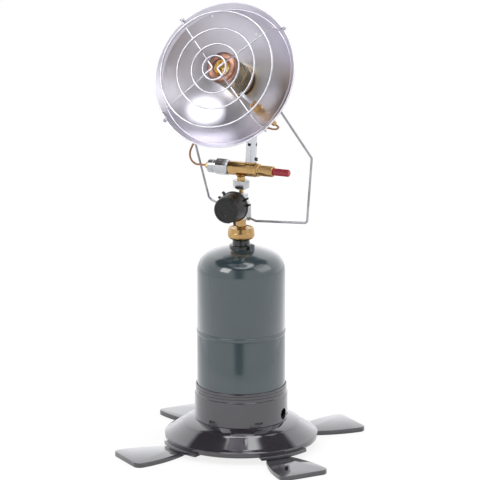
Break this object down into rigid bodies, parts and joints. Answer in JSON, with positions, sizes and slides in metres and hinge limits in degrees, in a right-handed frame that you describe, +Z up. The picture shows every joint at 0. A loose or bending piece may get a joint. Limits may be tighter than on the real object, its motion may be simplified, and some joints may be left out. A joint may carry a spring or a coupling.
{
  "type": "portable propane heater",
  "caption": "Portable gas heater: dish reflector with burner and wire guard on a valve and regulator, screwed to a gas cylinder that stands in a cup on a round base with fold-out legs.",
  "frame": {"origin": "on the axis of the gas cylinder, at the ground", "axes": "+Z up along the cylinder axis, -Y the way the reflector and the knob face, +X the way the red button points"},
  "size_m": [0.265, 0.265, 0.5097],
  "materials": {
    "black_plastic": "moulded, glossy",
    "knob_plastic": "moulded, satin",
    "green_paint": "glossy dark green enamel",
    "brass": "turned",
    "copper": "copper, drawn",
    "zinc": "die-cast and plated, satin",
    "steel": "plated",
    "chrome": "bright plated",
    "reflector_sheet": "spun and polished",
    "burner_mesh": "heat-darkened steel mesh",
    "rubber": "matt",
    "red_plastic": "moulded",
    "black_oxide": "black oxide"
  },
  "bodies": {
    "base": {"base_flange": "black_plastic", "cylinder_cup": "black_plastic", "leg_pins": "steel"},
    "leg_1": {"leg_1": "black_plastic"},
    "leg_2": {"leg_2": "black_plastic"},
    "leg_3": {"leg_3": "black_plastic"},
    "leg_4": {"leg_4": "black_plastic"},
    "gas_cylinder": {"cylinder_lower_shell": "green_paint", "cylinder_upper_shell": "green_paint", "cylinder_collar": "green_paint", "valve_boss": "brass", "valve_core": "steel", "relief_valve": "green_paint"},
    "seal": {"inlet_seal": "rubber"},
    "heater_head": {"inlet_coupling": "brass", "depressor_pin": "brass", "regulator_body": "zinc", "regulator_bonnet": "zinc", "diaphragm": "rubber", "diaphragm_spring": "steel", "outlet_tail": "brass", "flare_nut": "zinc", "safety_valve_body": "brass", "magnet_nut": "zinc", "magnet_housing": "zinc", "magnet_unit": "steel", "lead_gland": "brass", "button_spring": "steel", "button_sleeve": "brass", "gas_jet": "brass", "set_screw": "black_oxide", "mixing_tube": "chrome", "lock_nut": "steel", "rear_bracket": "steel", "burner_base": "brass", "burner_mesh": "burner_mesh", "burner_ring": "copper", "burner_cup": "brass", "reflector": "reflector_sheet", "thermocouple": "steel", "thermocouple_nut": "brass", "thermocouple_back_nut": "brass", "thermocouple_lead": "copper", "guard_ring_1": "chrome", "guard_ring_2": "chrome", "guard_ring_3": "chrome", "guard_ring_4": "chrome", "guard_wire_left": "chrome", "guard_wire_right": "chrome", "handle_wire": "chrome", "handle_strap": "steel", "strap_screw": "steel"},
    "knob": {"knob": "knob_plastic", "adjusting_screw": "brass"},
    "button": {"red_button": "red_plastic", "push_rod": "brass", "valve_poppet": "rubber"}
  },
  "joints": [
    {"name": "leg_1_fold", "type": "hinge", "parent": "base", "child": "leg_1", "pos_m": [0.06094, -0.04542, 0.0027], "axis": [0, 0, 1], "range_deg": [0, 130]},
    {"name": "leg_2_fold", "type": "hinge", "parent": "base", "child": "leg_2", "pos_m": [0.04542, 0.06094, 0.0027], "axis": [0, 0, 1], "range_deg": [0, 130]},
    {"name": "leg_3_fold", "type": "hinge", "parent": "base", "child": "leg_3", "pos_m": [-0.06094, 0.04542, 0.0027], "axis": [0, 0, 1], "range_deg": [0, 130]},
    {"name": "leg_4_fold", "type": "hinge", "parent": "base", "child": "leg_4", "pos_m": [-0.04542, -0.06094, 0.0027], "axis": [0, 0, 1], "range_deg": [0, 130]},
    {"name": "cylinder_lift", "type": "slide", "parent": "base", "child": "gas_cylinder", "axis": [0, 0, 1], "range_m": [0, 0.055]},
    {"name": "coupling_rise", "type": "slide", "parent": "gas_cylinder", "child": "seal", "axis": [0, 0, 1], "range_m": [0, 0.00382]},
    {"name": "coupling_unscrew", "type": "hinge", "parent": "seal", "child": "heater_head", "pos_m": [0, 0, 0.2435], "axis": [0, 0, 1], "range_deg": [0, 1080]},
    {"name": "knob_turn", "type": "hinge", "parent": "heater_head", "child": "knob", "pos_m": [0, -0.02, 0.278], "axis": [0, -1, 0], "range_deg": [0, 270]},
    {"name": "button_press", "type": "slide", "parent": "heater_head", "child": "button", "axis": [-1, 0, 0], "range_m": [0, 0.005], "stiffness_N_per_m": 600, "springref_m": -0.004, "deforming": ["button_spring"]}
  ],
  "couplings": [
    {"joint": "coupling_rise", "follows": "coupling_unscrew", "m_per_rad": 0.00020213}
  ]
}
